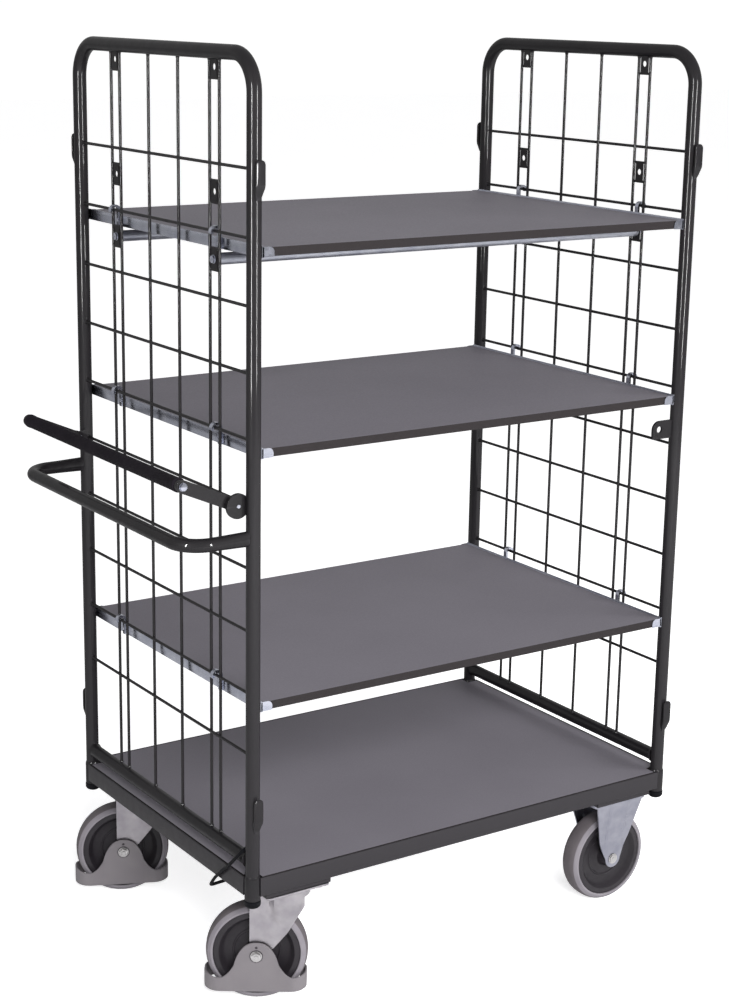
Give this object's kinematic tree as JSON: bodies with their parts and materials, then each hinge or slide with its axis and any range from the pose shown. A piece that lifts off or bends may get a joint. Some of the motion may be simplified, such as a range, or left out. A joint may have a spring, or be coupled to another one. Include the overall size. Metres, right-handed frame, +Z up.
{
  "type": "shelf trolley",
  "caption": "Tall shelf trolley with wire end panels, laminate deck and hook-in shelves, push handle with brake lever, braked swivel castors and fixed castors.",
  "frame": {"origin": "on the floor, in the middle of the object's bounding box in plan", "axes": "+Z up; +X from the push-handle end to the fixed-castor end; -Y is the open side a user loads from"},
  "size_m": [1.1838, 0.738, 1.8255],
  "materials": {
    "anthracite_paint": "satin anthracite powder coat",
    "laminate": "fine matt grey laminate on board with a dark edge",
    "zinc": "bright zinc plate",
    "fork_zinc": "dull zinc plate on pressed steel",
    "black_plastic": "fine grain",
    "sleeve_foam": "matt foam grip",
    "tyre_rubber": "smooth grey solid rubber",
    "hub_plastic": "moulded dark grey",
    "guard_plastic": "moulded mid grey"
  },
  "bodies": {
    "frame": {"deck_frame": "anthracite_paint", "castor_channel_handle_end": "anthracite_paint", "castor_channel_fixed_end": "anthracite_paint", "handle_end_panel": "anthracite_paint", "fixed_end_panel": "anthracite_paint", "push_handle": "anthracite_paint", "deck_board": "laminate", "corner_cap_handle_near": "black_plastic", "corner_cap_handle_far": "black_plastic", "corner_cap_fixed_near": "black_plastic", "corner_cap_fixed_far": "black_plastic", "lever_brake_cable": "black_plastic", "link_brake_cable": "black_plastic", "strut_near": "zinc", "strut_far": "zinc", "strut_screw_handle_near": "zinc", "strut_screw_handle_far": "zinc", "strut_screw_fixed_near": "zinc", "strut_screw_fixed_far": "zinc", "lever_pivot_pin_near": "zinc", "lever_pivot_pin_far": "zinc", "fixed_axle_bolt_near": "zinc", "fixed_axle_bolt_far": "zinc", "swivel_plate_near": "fork_zinc", "swivel_plate_far": "fork_zinc", "fixed_fork_near": "fork_zinc", "fixed_fork_far": "fork_zinc"},
    "brake_lever": {"lever_arm_near": "anthracite_paint", "lever_arm_far": "anthracite_paint", "grip_tube": "anthracite_paint", "grip_sleeve": "sleeve_foam", "grip_screw_near": "zinc", "grip_screw_far": "zinc"},
    "lower_shelf": {"lower_shelf_board": "laminate", "lower_shelf_profile_handle_end": "zinc", "lower_shelf_profile_fixed_end": "zinc"},
    "middle_shelf": {"middle_shelf_board": "laminate", "middle_shelf_profile_handle_end": "zinc", "middle_shelf_profile_fixed_end": "zinc"},
    "upper_shelf": {"upper_shelf_board": "laminate", "upper_shelf_profile_handle_end": "zinc", "upper_shelf_profile_fixed_end": "zinc"},
    "swivel_near": {"ball_ring_near": "zinc", "swivel_fork_near": "fork_zinc", "foot_guard_near": "guard_plastic", "swivel_axle_bolt_near": "zinc"},
    "brake_shoe_near": {"brake_shoe_near": "black_plastic"},
    "swivel_wheel_near": {"swivel_wheel_near_hub": "hub_plastic", "swivel_wheel_near_tyre": "tyre_rubber"},
    "fixed_wheel_near": {"fixed_wheel_near_hub": "hub_plastic", "fixed_wheel_near_tyre": "tyre_rubber"},
    "swivel_far": {"ball_ring_far": "zinc", "swivel_fork_far": "fork_zinc", "foot_guard_far": "guard_plastic", "swivel_axle_bolt_far": "zinc"},
    "brake_shoe_far": {"brake_shoe_far": "black_plastic"},
    "swivel_wheel_far": {"swivel_wheel_far_hub": "hub_plastic", "swivel_wheel_far_tyre": "tyre_rubber"},
    "fixed_wheel_far": {"fixed_wheel_far_hub": "hub_plastic", "fixed_wheel_far_tyre": "tyre_rubber"}
  },
  "joints": [
    {"name": "lever_pivot", "type": "hinge", "parent": "frame", "child": "brake_lever", "pos_m": [-0.46713, -0.00702, 1.0205], "axis": [0, -1, 0], "range_deg": [0, 30], "stiffness_Nm_per_rad": 12, "springref_deg": -17.19},
    {"name": "lower_shelf_lift", "type": "slide", "parent": "frame", "child": "lower_shelf", "axis": [0, 0, 1], "range_m": [0, 0.02]},
    {"name": "middle_shelf_lift", "type": "slide", "parent": "frame", "child": "middle_shelf", "axis": [0, 0, 1], "range_m": [0, 0.02]},
    {"name": "upper_shelf_lift", "type": "slide", "parent": "frame", "child": "upper_shelf", "axis": [0, 0, 1], "range_m": [0, 0.02]},
    {"name": "swivel_near_turn", "type": "hinge", "parent": "frame", "child": "swivel_near", "pos_m": [-0.33763, -0.29452, 0.2305], "axis": [0, 0, 1], "continuous": true},
    {"name": "swivel_wheel_near_spin", "type": "hinge", "parent": "swivel_near", "child": "swivel_wheel_near", "pos_m": [-0.38172, -0.26511, 0.1], "axis": [-0.5548, -0.832, 0], "continuous": true},
    {"name": "brake_shoe_near_lift", "type": "slide", "parent": "swivel_near", "child": "brake_shoe_near", "axis": [0, 0, 1], "range_m": [0, 0.0042]},
    {"name": "swivel_far_turn", "type": "hinge", "parent": "frame", "child": "swivel_far", "pos_m": [-0.33763, 0.28048, 0.2305], "axis": [0, 0, 1], "continuous": true},
    {"name": "swivel_wheel_far_spin", "type": "hinge", "parent": "swivel_far", "child": "swivel_wheel_far", "pos_m": [-0.38593, 0.30229, 0.1], "axis": [-0.4115, -0.9114, 0], "continuous": true},
    {"name": "brake_shoe_far_lift", "type": "slide", "parent": "swivel_far", "child": "brake_shoe_far", "axis": [0, 0, 1], "range_m": [0, 0.0042]},
    {"name": "fixed_wheel_near_spin", "type": "hinge", "parent": "frame", "child": "fixed_wheel_near", "pos_m": [0.48488, -0.28602, 0.1], "axis": [0, 1, 0], "continuous": true},
    {"name": "fixed_wheel_far_spin", "type": "hinge", "parent": "frame", "child": "fixed_wheel_far", "pos_m": [0.48488, 0.27198, 0.1], "axis": [0, 1, 0], "continuous": true}
  ],
  "couplings": [
    {"joint": "brake_shoe_near_lift", "follows": "lever_pivot", "m_per_rad": 0.0076},
    {"joint": "brake_shoe_far_lift", "follows": "lever_pivot", "m_per_rad": 0.0076}
  ]
}
